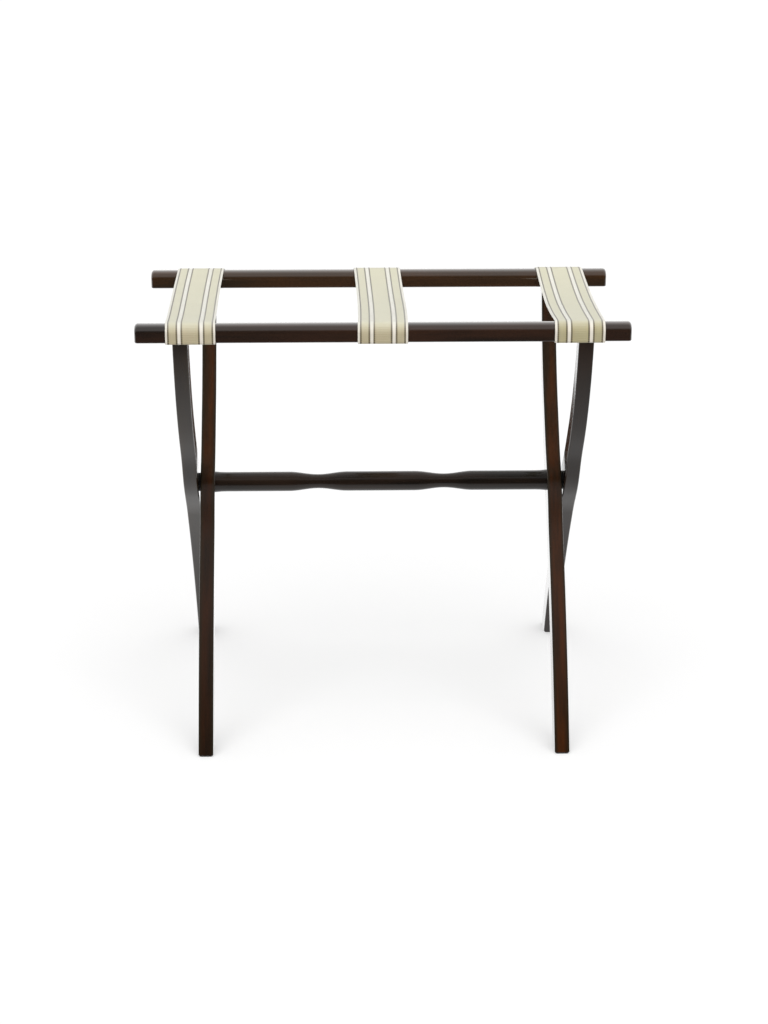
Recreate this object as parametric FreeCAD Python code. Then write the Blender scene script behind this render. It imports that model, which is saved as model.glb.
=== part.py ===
import FreeCAD, Part
import math
import os

from FreeCAD import Vector

# Folding luggage bench: two crossed wooden frames, hinged where their legs cross, with three
# webbing straps over the two top rails. Millimetres.
# X runs along the rails, Y from the front rail to the rear rail, Z up.
# The origin is on the floor, midway between the four feet and straight under the pivots.
# The outer legs carry the front rail and stand at the back; the inner legs carry the rear rail
# and stand at the front.

# Rails
SEAT_HEIGHT = 550.7  # top of the rails above the floor
RAIL_LENGTH = 610.0
RAIL_WIDTH = 25.0
RAIL_HEIGHT = 22.0
RAIL_TOP_ROUND = 11.5  # the rail's top is almost half round
RAIL_BOTTOM_ROUND = 1.6
RAIL_END_ROUND = 4.0

# Legs: straight through the pivot, then an arc up to the rail and a flatter arc down to the foot
PIVOT_HEIGHT = 297.5
PIVOT_LEAN = math.radians(38.0)  # from upright, at the pivot
STRAIGHT_ABOVE = 84.0  # height of the straight stretch above the pivot
STRAIGHT_BELOW = 72.0
UPPER_ARC_RADIUS = 371.0
LOWER_ARC_RADIUS = 1302.0
LEG_SETBACK = 55.5  # from a rail's end to the middle of an outer leg
LEG_THICKNESS = 19.0
LEG_WIDTH_AT_FOOT = 31.7
LEG_WIDTH_AT_PIVOT = 30.2  # without the swelling
LEG_WIDTH_AT_RAIL = 23.3
SWELLING = 12.4  # added to the leg's width at the pivot
SWELLING_REACH = 71.0  # along the leg, each way from the pivot
LEG_EDGE_ROUND = 1.8
LEG_STATIONS = 28

# Stretcher: turned, with two necks and flared ends
STRETCHER_RADIUS = 12.9
NECK_RADIUS = 9.3
NECK_PLANE = 83.0  # X of the narrowest place
NECK_REACH = 39.0
FLARE = 0.9
FLARE_REACH = 14.0
TENON_RADIUS = 8.0
TENON_LENGTH = 9.0
STRETCHER_STATIONS = 8

# Pivots
BOLT_RADIUS = 3.0
BOLT_LENGTH = 40.0  # under the head
BOLT_HEAD_RADIUS = 7.5
BOLT_HEAD_HEIGHT = 2.0
BOLT_HEAD_ROUND = 0.6
SOCKET_FLATS = 4.0
SOCKET_DEPTH = 2.6
WASHER_RADIUS = 9.0
WASHER_THICKNESS = 1.0
SPACER_RADIUS = 12.2
SPACER_THICKNESS = 2.5
SPACER_ROUND = 0.5
INSERT_RADIUS = 5.0
INSERT_LENGTH = 15.0
INSERT_HOLE_SPARE = 3.0  # depth of the stretcher's bore past the insert
RUNNING_CLEARANCE = 0.08  # radial, outer leg on bolt
LOOSE_CLEARANCE = 0.2  # radial, bolt in a hole that it only passes through
RECESS_CLEARANCE = 0.5  # radial, washer in the leg's recess

# Screws and dowels between rails and legs
SCREW_RADIUS = 2.0
SCREW_LENGTH = 40.0
SCREW_HEAD_RADIUS = 4.0
SCREW_HEAD_HEIGHT = 2.3
SCREW_SINK = 2.2  # head below the rail's highest line
SCREW_SHIFT = 3.5  # from the rail's middle towards its outer face
SCREW_CROSS_LENGTH = 4.0
SCREW_CROSS_WIDTH = 0.9
SCREW_CROSS_DEPTH = 1.3
DOWEL_RADIUS = 3.0
DOWEL_IN_RAIL = 12.0
DOWEL_IN_LEG = 18.0
DOWEL_SPARE = 1.0  # free depth at each end of a dowel
DOWEL_CHAMFER = 0.8
DOWEL_SHIFT = 6.5  # from the rail's middle towards the other rail

# Feet
GLIDE_HEIGHT = 2.5
GLIDE_INSET = 1.0
GLIDE_CORNER_ROUND = 3.0
GLIDE_BOTTOM_ROUND = 0.6
GLIDE_STEM_RADIUS = 2.0
GLIDE_STEM_LENGTH = 12.0
GLIDE_STEM_SPARE = 1.0

# Straps
STRAP_WIDTH = 61.5
STRAP_THICKNESS = 1.5
END_STRAP_SETBACK = 65.0  # from a rail's end to the middle of the strap
STRAP_TAIL = 17.0  # turned under the rail, measured from its outer face
LEFT_STRAP_SAG = 11.0  # at mid-span, below a straight line over the rails
CENTRE_STRAP_SAG = 11.0
RIGHT_STRAP_SAG = 14.5
STRAP_GAP = 0.3  # between the webbing and what it lies on
STRAP_NOTCH_GAP = 0.4  # round the leg's top

# Tacks
TACK_HEAD_RADIUS = 3.4
TACK_HEAD_HEIGHT = 1.1
TACK_SHANK_RADIUS = 0.9
TACK_DEPTH = 7.0  # in the rail
TACK_HOLE_GAP = 0.3  # radial, in the webbing
CENTRE_TACK_PLANE = 20.0

# Derived places
RAIL_BOTTOM = SEAT_HEIGHT - RAIL_HEIGHT
OUTER_LEG_PLANE = RAIL_LENGTH / 2 - LEG_SETBACK  # X of the middle of an outer leg
END_STRAP_PLANE = RAIL_LENGTH / 2 - END_STRAP_SETBACK
INNER_LEG_PLANE = OUTER_LEG_PLANE - LEG_THICKNESS - SPACER_THICKNESS
OUTER_FACE = OUTER_LEG_PLANE + LEG_THICKNESS / 2
OUTER_LEG_INNER_FACE = OUTER_LEG_PLANE - LEG_THICKNESS / 2
INNER_FACE = INNER_LEG_PLANE - LEG_THICKNESS / 2
TENON_END = INNER_FACE + TENON_LENGTH
RECESS_DEPTH = WASHER_THICKNESS + BOLT_HEAD_HEIGHT
TOLERANCE = 0.01  # for finding edges by their place
X_AXIS = Vector(1, 0, 0)
Y_AXIS = Vector(0, 1, 0)
Z_AXIS = Vector(0, 0, 1)
ORIGIN = Vector(0, 0, 0)


def leg_line(height):
    """Y of an outer leg's centreline at a height, and the tangent of its lean there."""
    lean_sine = math.sin(PIVOT_LEAN)
    lean_cosine = math.cos(PIVOT_LEAN)
    slope = math.tan(PIVOT_LEAN)
    above = height - PIVOT_HEIGHT - STRAIGHT_ABOVE
    below = PIVOT_HEIGHT - STRAIGHT_BELOW - height
    if above > 0:
        sine = lean_sine - above / UPPER_ARC_RADIUS
        cosine = math.sqrt(1 - sine * sine)
        y = -STRAIGHT_ABOVE * slope - UPPER_ARC_RADIUS * (cosine - lean_cosine)
        return y, sine / cosine
    if below > 0:
        sine = lean_sine - below / LOWER_ARC_RADIUS
        cosine = math.sqrt(1 - sine * sine)
        y = STRAIGHT_BELOW * slope + LOWER_ARC_RADIUS * (cosine - lean_cosine)
        return y, sine / cosine
    return (PIVOT_HEIGHT - height) * slope, slope


def leg_half_depth(height):
    """Half of a leg's size along Y, as a level cut at a height shows it."""
    if height > PIVOT_HEIGHT:
        share = (height - PIVOT_HEIGHT) / (RAIL_BOTTOM - PIVOT_HEIGHT)
        width = LEG_WIDTH_AT_PIVOT + (LEG_WIDTH_AT_RAIL - LEG_WIDTH_AT_PIVOT) * share
    else:
        share = height / PIVOT_HEIGHT
        width = LEG_WIDTH_AT_FOOT + (LEG_WIDTH_AT_PIVOT - LEG_WIDTH_AT_FOOT) * share
    along = abs(height - PIVOT_HEIGHT) / math.cos(PIVOT_LEAN)
    if along < SWELLING_REACH:
        width += SWELLING * (1 + math.cos(math.pi * along / SWELLING_REACH)) / 2
    slope = leg_line(height)[1]
    return width / 2 * math.hypot(1, slope)


# Half the distance between the rails' middles: the legs' tops are centred under them
RAIL_PLACE = -leg_line(RAIL_BOTTOM)[0]
RAIL_OUTER_FACE = RAIL_PLACE + RAIL_WIDTH / 2


def smooth_edge(points):
    """One curve through the points."""
    curve = Part.BSplineCurve()
    curve.interpolate(points)
    return curve.toShape()


def closed_face(edges):
    return Part.Face(Part.Wire(edges))


def cylinder_x(radius, start, end):
    """Cylinder on the pivot axis, from one X to another."""
    low = min(start, end)
    return Part.makeCylinder(radius, abs(end - start), Vector(low, 0, PIVOT_HEIGHT), X_AXIS)


def cylinder_z(radius, x, y, low, high):
    return Part.makeCylinder(radius, high - low, Vector(x, y, low), Z_AXIS)


def mirrored_x(shape):
    return shape.mirror(ORIGIN, X_AXIS)


def mirrored_y(shape):
    return shape.mirror(ORIGIN, Y_AXIS)


def export(node, shape):
    shape.exportStep("parts/" + node + ".step")


def export_pair(node, right):
    """A piece of the right side, and its mirror image on the left."""
    export(node + "_right", right)
    export(node + "_left", mirrored_x(right))


# Legs


def leg_blank():
    """An outer leg without holes, its middle plane at X = 0."""
    front = []
    back = []
    for i in range(LEG_STATIONS + 1):
        height = GLIDE_HEIGHT + (RAIL_BOTTOM - GLIDE_HEIGHT) * i / LEG_STATIONS
        middle = leg_line(height)[0]
        half = leg_half_depth(height)
        front.append(Vector(-LEG_THICKNESS / 2, middle - half, height))
        back.append(Vector(-LEG_THICKNESS / 2, middle + half, height))
    outline = [
        smooth_edge(front),
        Part.makeLine(front[-1], back[-1]),
        smooth_edge(back),
        Part.makeLine(back[0], front[0]),
    ]
    blank = closed_face(outline).extrude(Vector(LEG_THICKNESS, 0, 0))
    return blank.makeFillet(LEG_EDGE_ROUND, [edge for edge in blank.Edges if is_long_edge(edge)])


def is_long_edge(edge):
    """A curved edge along a leg, between its side and its front or back."""
    box = edge.BoundBox
    return box.ZLength > (RAIL_BOTTOM - GLIDE_HEIGHT) / 2


def leg_top_holes(blank, plane, rail_y, outward):
    """Pilot hole for the screw and hole for the dowel; outward is the rail's outer side along Y."""
    screw_y = rail_y + outward * SCREW_SHIFT
    dowel_y = rail_y - outward * DOWEL_SHIFT
    screw_tip = SEAT_HEIGHT - SCREW_SINK - SCREW_LENGTH
    pilot = cylinder_z(SCREW_RADIUS, plane, screw_y, screw_tip, SEAT_HEIGHT)
    dowel_low = RAIL_BOTTOM - DOWEL_IN_LEG - DOWEL_SPARE
    dowel_hole = cylinder_z(DOWEL_RADIUS, plane, dowel_y, dowel_low, SEAT_HEIGHT)
    return blank.cut([pilot, dowel_hole])


def foot_hole(blank, plane, y):
    top = GLIDE_HEIGHT + GLIDE_STEM_LENGTH + GLIDE_STEM_SPARE
    return blank.cut(cylinder_z(GLIDE_STEM_RADIUS, plane, y, 0, top))


def outer_leg():
    """Right outer leg: turns on the bolt's shank; the bolt's head lies in a recess."""
    leg = leg_blank()
    leg.translate(Vector(OUTER_LEG_PLANE, 0, 0))
    leg = leg_top_holes(leg, OUTER_LEG_PLANE, -RAIL_PLACE, -1)
    leg = foot_hole(leg, OUTER_LEG_PLANE, leg_line(GLIDE_HEIGHT)[0])
    bore = cylinder_x(BOLT_RADIUS + RUNNING_CLEARANCE, OUTER_LEG_INNER_FACE, OUTER_FACE)
    recess = cylinder_x(WASHER_RADIUS + RECESS_CLEARANCE, OUTER_FACE - RECESS_DEPTH, OUTER_FACE)
    return leg.cut([bore, recess])


def inner_leg():
    """Right inner leg: holds the stretcher's tenon, and the bolt passes through it."""
    leg = mirrored_y(leg_blank())
    leg.translate(Vector(INNER_LEG_PLANE, 0, 0))
    leg = leg_top_holes(leg, INNER_LEG_PLANE, RAIL_PLACE, 1)
    leg = foot_hole(leg, INNER_LEG_PLANE, -leg_line(GLIDE_HEIGHT)[0])
    hole = cylinder_x(BOLT_RADIUS + LOOSE_CLEARANCE, INNER_FACE, INNER_FACE + LEG_THICKNESS)
    mortise = cylinder_x(TENON_RADIUS, INNER_FACE, TENON_END)
    return leg.cut([hole, mortise])


# Rails, and what holds the legs to them


def screw_head(x, y):
    """Countersunk head, its flat top SCREW_SINK below the rail's highest line."""
    low = SEAT_HEIGHT - SCREW_SINK - SCREW_HEAD_HEIGHT
    return Part.makeCone(SCREW_RADIUS, SCREW_HEAD_RADIUS, SCREW_HEAD_HEIGHT, Vector(x, y, low), Z_AXIS)


def rail_section():
    """The rear rail's section, at its left end."""
    middle = Vector(-RAIL_LENGTH / 2, RAIL_PLACE, 0)
    inner_face = middle - Y_AXIS * (RAIL_WIDTH / 2)
    outer_face = middle + Y_AXIS * (RAIL_WIDTH / 2)
    bottom = Z_AXIS * RAIL_BOTTOM
    turn_z = Z_AXIS * (SEAT_HEIGHT - RAIL_TOP_ROUND)
    quarter = math.pi / 2
    inner_turn = arc_round(inner_face + Y_AXIS * RAIL_TOP_ROUND + turn_z, RAIL_TOP_ROUND, -quarter, 0)
    outer_turn = arc_round(outer_face - Y_AXIS * RAIL_TOP_ROUND + turn_z, RAIL_TOP_ROUND, 0, quarter)
    outline = [
        Part.makeLine(inner_face + bottom, first_point(inner_turn)),
        inner_turn,
        Part.makeLine(last_point(inner_turn), first_point(outer_turn)),
        outer_turn,
        Part.makeLine(last_point(outer_turn), outer_face + bottom),
        Part.makeLine(outer_face + bottom, inner_face + bottom),
    ]
    return closed_face(outline)


def rounded_rail_block():
    """The rear rail without holes."""
    block = rail_section().extrude(Vector(RAIL_LENGTH, 0, 0))
    block = block.makeFillet(RAIL_END_ROUND, [edge for edge in block.Edges if is_end_edge(edge)])
    return block.makeFillet(RAIL_BOTTOM_ROUND, edges_at_height(block, RAIL_BOTTOM))


def is_end_edge(edge):
    """An edge round a rail's end, other than the one at its bottom."""
    box = edge.BoundBox
    return box.XLength < TOLERANCE and box.ZMax > RAIL_BOTTOM + TOLERANCE


def upright_edges(shape, height):
    """The edges of a block that run its full height."""
    return [edge for edge in shape.Edges if edge.BoundBox.ZLength > height / 2]


def edges_at_height(shape, height):
    """The level edges of a shape that lie at a height."""
    found = []
    for edge in shape.Edges:
        box = edge.BoundBox
        if abs(box.ZMin - height) < TOLERANCE and abs(box.ZMax - height) < TOLERANCE:
            found.append(edge)
    return found


def rear_rail(leg_plane):
    """The rail over legs at X = leg_plane and its mirror place, with its screw, dowel and tack holes."""
    tools = []
    for x in (-leg_plane, leg_plane):
        screw_y = RAIL_PLACE + SCREW_SHIFT
        dowel_y = RAIL_PLACE - DOWEL_SHIFT
        sink_low = SEAT_HEIGHT - SCREW_SINK
        tools.append(cylinder_z(SCREW_RADIUS + LOOSE_CLEARANCE, x, screw_y, RAIL_BOTTOM, SEAT_HEIGHT))
        tools.append(screw_head(x, screw_y))
        tools.append(cylinder_z(SCREW_HEAD_RADIUS, x, screw_y, sink_low, SEAT_HEIGHT))
        dowel_top = RAIL_BOTTOM + DOWEL_IN_RAIL + DOWEL_SPARE
        tools.append(cylinder_z(DOWEL_RADIUS, x, dowel_y, RAIL_BOTTOM, dowel_top))
    for x in tack_planes(leg_plane):
        tools.append(cylinder_z(TACK_SHANK_RADIUS, x, tack_place(), RAIL_BOTTOM, RAIL_BOTTOM + TACK_DEPTH))
    return rounded_rail_block().cut(tools)


def rear_screws(leg_plane):
    """The two screws of a rail, each with a cross recess."""
    top = SEAT_HEIGHT - SCREW_SINK
    y = RAIL_PLACE + SCREW_SHIFT
    screws = []
    for x in (-leg_plane, leg_plane):
        shank_top = top - SCREW_HEAD_HEIGHT
        shank = cylinder_z(SCREW_RADIUS, x, y, top - SCREW_LENGTH, shank_top)
        screw = shank.fuse(screw_head(x, y)).removeSplitter()
        for long_x, long_y in ((1, 0), (0, 1)):
            size_x = SCREW_CROSS_LENGTH if long_x else SCREW_CROSS_WIDTH
            size_y = SCREW_CROSS_LENGTH if long_y else SCREW_CROSS_WIDTH
            corner = Vector(x - size_x / 2, y - size_y / 2, top - SCREW_CROSS_DEPTH)
            screw = screw.cut(Part.makeBox(size_x, size_y, SCREW_CROSS_DEPTH, corner))
        screws.append(screw)
    return Part.makeCompound(screws)


def rear_dowels(leg_plane):
    dowels = []
    for x in (-leg_plane, leg_plane):
        y = RAIL_PLACE - DOWEL_SHIFT
        dowel = cylinder_z(DOWEL_RADIUS, x, y, RAIL_BOTTOM - DOWEL_IN_LEG, RAIL_BOTTOM + DOWEL_IN_RAIL)
        ends = [edge for edge in dowel.Edges if edge.BoundBox.ZLength < DOWEL_CHAMFER]
        dowels.append(dowel.makeChamfer(DOWEL_CHAMFER, ends))
    return Part.makeCompound(dowels)


# Stretcher


def stretcher_radius(x):
    """Radius of the turned outline at a distance from its middle."""
    radius = STRETCHER_RADIUS
    from_neck = abs(x - NECK_PLANE)
    if from_neck < NECK_REACH:
        radius -= (STRETCHER_RADIUS - NECK_RADIUS) * (1 + math.cos(math.pi * from_neck / NECK_REACH)) / 2
    from_end = INNER_FACE - x
    if from_end < FLARE_REACH:
        radius += FLARE * (1 - from_end / FLARE_REACH) ** 2
    return radius


def outline_span(start, end):
    """A smooth edge of the turned outline between two distances from its middle."""
    points = []
    for i in range(STRETCHER_STATIONS + 1):
        x = start + (end - start) * i / STRETCHER_STATIONS
        points.append(Vector(x, 0, PIVOT_HEIGHT + stretcher_radius(x)))
    return smooth_edge(points)


def stretcher():
    """Turned spindle with a tenon at each end, bored for the inserts."""
    neck_start = NECK_PLANE - NECK_REACH
    neck_end = NECK_PLANE + NECK_REACH
    flare_start = INNER_FACE - FLARE_REACH
    axis_start = Vector(0, 0, PIVOT_HEIGHT)
    level = PIVOT_HEIGHT + STRETCHER_RADIUS
    shoulder = Vector(INNER_FACE, 0, PIVOT_HEIGHT + stretcher_radius(INNER_FACE))
    outline = [
        Part.makeLine(axis_start, Vector(0, 0, level)),
        Part.makeLine(Vector(0, 0, level), Vector(neck_start, 0, level)),
        outline_span(neck_start, neck_end),
        Part.makeLine(Vector(neck_end, 0, level), Vector(flare_start, 0, level)),
        outline_span(flare_start, INNER_FACE),
        Part.makeLine(shoulder, Vector(INNER_FACE, 0, PIVOT_HEIGHT)),
        Part.makeLine(Vector(INNER_FACE, 0, PIVOT_HEIGHT), axis_start),
    ]
    half = closed_face(outline).revolve(axis_start, X_AXIS, 360)
    half = half.fuse(cylinder_x(TENON_RADIUS, INNER_FACE, TENON_END))
    half = half.cut(cylinder_x(INSERT_RADIUS, TENON_END - INSERT_LENGTH - INSERT_HOLE_SPARE, TENON_END))
    return half.fuse(mirrored_x(half)).removeSplitter()


# Pivot hardware, right side


def pivot_bolt():
    """Flat-head bolt with a hexagon socket, its head level with the outer leg's face."""
    head_low = OUTER_FACE - BOLT_HEAD_HEIGHT
    head = cylinder_x(BOLT_HEAD_RADIUS, head_low, OUTER_FACE)
    rim = [edge for edge in head.Edges if abs(edge.BoundBox.XMin - OUTER_FACE) < TOLERANCE]
    head = head.makeFillet(BOLT_HEAD_ROUND, rim)
    bolt = head.fuse(cylinder_x(BOLT_RADIUS, head_low - BOLT_LENGTH, head_low)).removeSplitter()
    return bolt.cut(hexagon_socket())


def hexagon_socket():
    corner_radius = SOCKET_FLATS / 2 / math.cos(math.pi / 6)
    corners = []
    for i in range(7):
        angle = math.pi / 3 * i
        y = corner_radius * math.cos(angle)
        z = PIVOT_HEIGHT + corner_radius * math.sin(angle)
        corners.append(Vector(OUTER_FACE - SOCKET_DEPTH, y, z))
    return Part.Face(Part.makePolygon(corners)).extrude(Vector(SOCKET_DEPTH, 0, 0))


def pivot_washer():
    start = OUTER_FACE - RECESS_DEPTH
    end = start + WASHER_THICKNESS
    return cylinder_x(WASHER_RADIUS, start, end).cut(cylinder_x(BOLT_RADIUS, start, end))


def pivot_spacer():
    """Disc that keeps the outer leg off the inner leg."""
    start = INNER_LEG_PLANE + LEG_THICKNESS / 2
    end = OUTER_LEG_INNER_FACE
    disc = cylinder_x(SPACER_RADIUS, start, end)
    rims = [edge for edge in disc.Edges if edge.BoundBox.XLength < SPACER_ROUND]
    disc = disc.makeFillet(SPACER_ROUND, rims)
    return disc.cut(cylinder_x(BOLT_RADIUS + LOOSE_CLEARANCE, start, end))


def pivot_insert():
    """Brass sleeve in the end of the stretcher that the bolt screws into."""
    start = TENON_END - INSERT_LENGTH
    return cylinder_x(INSERT_RADIUS, start, TENON_END).cut(cylinder_x(BOLT_RADIUS, start, TENON_END))


# Feet


def foot_glide(plane, y):
    """Pad with a stem, under the leg at one X."""
    size_x = LEG_THICKNESS - 2 * GLIDE_INSET
    size_y = 2 * (leg_half_depth(GLIDE_HEIGHT) - GLIDE_INSET)
    pad = Part.makeBox(size_x, size_y, GLIDE_HEIGHT, Vector(plane - size_x / 2, y - size_y / 2, 0))
    pad = pad.makeFillet(GLIDE_CORNER_ROUND, upright_edges(pad, GLIDE_HEIGHT))
    pad = pad.makeFillet(GLIDE_BOTTOM_ROUND, edges_at_height(pad, 0))
    stem = cylinder_z(GLIDE_STEM_RADIUS, plane, y, GLIDE_HEIGHT, GLIDE_HEIGHT + GLIDE_STEM_LENGTH)
    return pad.fuse(stem).removeSplitter()


# Straps: each is two solids that meet over the middle, one half for each rail


def tack_place():
    """Y of the tacks under the rear rail: the middle of the strap's tail."""
    return RAIL_OUTER_FACE - (STRAP_TAIL + RAIL_BOTTOM_ROUND) / 2


def end_tack_planes(leg_plane):
    """X of the tacks of the right end strap: the middles of the tail beside the leg."""
    notch_low = leg_plane - LEG_THICKNESS / 2 - STRAP_NOTCH_GAP
    notch_high = leg_plane + LEG_THICKNESS / 2 + STRAP_NOTCH_GAP
    strap_low = END_STRAP_PLANE - STRAP_WIDTH / 2
    strap_high = END_STRAP_PLANE + STRAP_WIDTH / 2
    return [(strap_low + notch_low) / 2, (notch_high + strap_high) / 2]


def tack_planes(leg_plane):
    right = end_tack_planes(leg_plane)
    left = [-x for x in right]
    return left + [-CENTRE_TACK_PLANE, CENTRE_TACK_PLANE] + right


def arc_round(centre, radius, start_angle, end_angle):
    """Arc round a centre, in a plane across the X axis; the angles are from upright, towards +Y."""
    points = []
    for angle in (start_angle, (start_angle + end_angle) / 2, end_angle):
        points.append(centre + Vector(0, radius * math.sin(angle), radius * math.cos(angle)))
    return Part.Arc(*points).toShape()


def rail_wrap(offset, sag):
    """Edges of the strap's section at one distance from the rear rail, from mid-span to the tail's end."""
    upper_z = SEAT_HEIGHT - RAIL_TOP_ROUND
    inner_corner = Vector(0, RAIL_OUTER_FACE - RAIL_WIDTH + RAIL_TOP_ROUND, upper_z)
    outer_corner = Vector(0, RAIL_OUTER_FACE - RAIL_TOP_ROUND, upper_z)
    lower_corner = Vector(0, RAIL_OUTER_FACE - RAIL_BOTTOM_ROUND, RAIL_BOTTOM + RAIL_BOTTOM_ROUND)
    upper_radius = RAIL_TOP_ROUND + offset
    lower_radius = RAIL_BOTTOM_ROUND + offset
    # The sagging span is one arc, its centre above the middle, tangent to the turn over the inner corner
    turn = 2 * math.atan(sag / inner_corner.y)
    reach = inner_corner.y / math.sin(turn)
    sag_centre = Vector(0, 0, upper_z + reach * math.cos(turn))
    quarter = math.pi / 2
    span = arc_round(sag_centre, reach - upper_radius, 2 * quarter, 2 * quarter - turn)
    inner_turn = arc_round(inner_corner, upper_radius, -turn, 0)
    outer_turn = arc_round(outer_corner, upper_radius, 0, quarter)
    lower_turn = arc_round(lower_corner, lower_radius, quarter, 2 * quarter)
    end = Vector(0, RAIL_OUTER_FACE - STRAP_TAIL, RAIL_BOTTOM - offset)
    return [
        span,
        inner_turn,
        Part.makeLine(last_point(inner_turn), first_point(outer_turn)),
        outer_turn,
        Part.makeLine(last_point(outer_turn), first_point(lower_turn)),
        lower_turn,
        Part.makeLine(last_point(lower_turn), end),
    ]


def first_point(edge):
    return edge.Vertexes[0].Point


def last_point(edge):
    return edge.Vertexes[-1].Point


def rear_strap(plane, sag, tacks, leg_plane):
    """Rear half of a strap, with its tack holes and the notch round a leg's top where it has one."""
    inside = rail_wrap(STRAP_GAP, sag)
    outside = rail_wrap(STRAP_GAP + STRAP_THICKNESS, sag)
    start = Part.makeLine(first_point(inside[0]), first_point(outside[0]))
    end = Part.makeLine(last_point(inside[-1]), last_point(outside[-1]))
    section = closed_face(inside + [end] + list(reversed(outside)) + [start])
    strap = section.extrude(Vector(STRAP_WIDTH, 0, 0))
    strap.translate(Vector(plane - STRAP_WIDTH / 2, 0, 0))
    below = RAIL_BOTTOM - RAIL_HEIGHT
    for x in tacks:
        radius = TACK_SHANK_RADIUS + TACK_HOLE_GAP
        strap = strap.cut(cylinder_z(radius, x, tack_place(), below, RAIL_BOTTOM))
    if leg_plane is not None:
        width = LEG_THICKNESS + 2 * STRAP_NOTCH_GAP
        face = RAIL_PLACE + leg_half_depth(RAIL_BOTTOM) + STRAP_NOTCH_GAP
        corner = Vector(leg_plane - width / 2, 0, below)
        strap = strap.cut(Part.makeBox(width, face, RAIL_HEIGHT, corner))
    return strap


def rear_tacks(leg_plane):
    """The six tacks under a rail; a domed head and a plain shank each."""
    head_top = RAIL_BOTTOM - 2 * STRAP_GAP - STRAP_THICKNESS
    dome_radius = (TACK_HEAD_RADIUS ** 2 + TACK_HEAD_HEIGHT ** 2) / (2 * TACK_HEAD_HEIGHT)
    tacks = []
    for x in tack_planes(leg_plane):
        y = tack_place()
        centre = Vector(x, y, head_top - TACK_HEAD_HEIGHT + dome_radius)
        ball = Part.makeSphere(dome_radius, centre)
        head = ball.common(cylinder_z(dome_radius, x, y, head_top - dome_radius, head_top))
        shank = cylinder_z(TACK_SHANK_RADIUS, x, y, head_top, RAIL_BOTTOM + TACK_DEPTH)
        tacks.append(head.fuse(shank).removeSplitter())
    return Part.makeCompound(tacks)


def export_straps():
    """Front halves lie over the outer legs, rear halves over the inner legs."""
    for side, leg_plane in (("front", OUTER_LEG_PLANE), ("rear", INNER_LEG_PLANE)):
        place = mirrored_y if side == "front" else Part.Shape.copy
        tacks = end_tack_planes(leg_plane)
        right = rear_strap(END_STRAP_PLANE, RIGHT_STRAP_SAG, tacks, leg_plane)
        left = mirrored_x(rear_strap(END_STRAP_PLANE, LEFT_STRAP_SAG, tacks, leg_plane))
        centre = rear_strap(0, CENTRE_STRAP_SAG, [-CENTRE_TACK_PLANE, CENTRE_TACK_PLANE], None)
        export("strap_right_" + side, place(right))
        export("strap_left_" + side, place(left))
        export("strap_centre_" + side, place(centre))
        export("strap_tacks_" + side, place(rear_tacks(leg_plane)))


def export_rails():
    export("rear_rail", rear_rail(INNER_LEG_PLANE))
    export("front_rail", mirrored_y(rear_rail(OUTER_LEG_PLANE)))
    export("rear_rail_screws", rear_screws(INNER_LEG_PLANE))
    export("front_rail_screws", mirrored_y(rear_screws(OUTER_LEG_PLANE)))
    export("rear_rail_dowels", rear_dowels(INNER_LEG_PLANE))
    export("front_rail_dowels", mirrored_y(rear_dowels(OUTER_LEG_PLANE)))


def export_legs():
    foot_y = leg_line(GLIDE_HEIGHT)[0]
    export_pair("outer_leg", outer_leg())
    export_pair("inner_leg", inner_leg())
    export_pair("foot_glide_rear", foot_glide(OUTER_LEG_PLANE, foot_y))
    export_pair("foot_glide_front", foot_glide(INNER_LEG_PLANE, -foot_y))


def export_pivots():
    export("stretcher", stretcher())
    export_pair("pivot_bolt", pivot_bolt())
    export_pair("pivot_washer", pivot_washer())
    export_pair("pivot_spacer", pivot_spacer())
    export_pair("pivot_insert", pivot_insert())


os.makedirs("parts", exist_ok=True)
export_rails()
export_legs()
export_pivots()
export_straps()
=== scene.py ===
import math
import random

import bpy
import numpy as np
from mathutils import Matrix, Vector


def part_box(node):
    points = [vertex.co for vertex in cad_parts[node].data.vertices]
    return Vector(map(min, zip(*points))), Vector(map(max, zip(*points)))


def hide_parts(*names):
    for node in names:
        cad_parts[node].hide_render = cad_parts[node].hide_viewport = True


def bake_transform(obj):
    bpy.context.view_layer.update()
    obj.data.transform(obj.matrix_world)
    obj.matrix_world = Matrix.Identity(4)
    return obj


# Folding luggage bench: finishes for the wooden frames and their hardware, and the three striped
# webbing straps, each as two halves that meet over the middle. Metres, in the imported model's frame.

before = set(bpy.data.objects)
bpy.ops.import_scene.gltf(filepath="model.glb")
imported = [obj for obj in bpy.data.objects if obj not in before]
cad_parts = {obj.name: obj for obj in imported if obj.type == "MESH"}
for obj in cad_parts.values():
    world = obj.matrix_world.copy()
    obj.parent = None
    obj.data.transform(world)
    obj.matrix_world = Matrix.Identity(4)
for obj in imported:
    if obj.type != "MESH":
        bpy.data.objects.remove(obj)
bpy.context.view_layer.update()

MM = 0.001

# Camera: place, and angles in degrees
CAMERA_PLACE = (-0.05770, -2.74962, 1.26252)
CAMERA_YAW = -1.2849  # left of +Y
CAMERA_PITCH = 20.1484  # down
CAMERA_ROLL = 0.0661
CAMERA_LENS = 77.363  # millimetres, for the sensor along the picture's long side
SENSOR = 36.0

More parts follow.
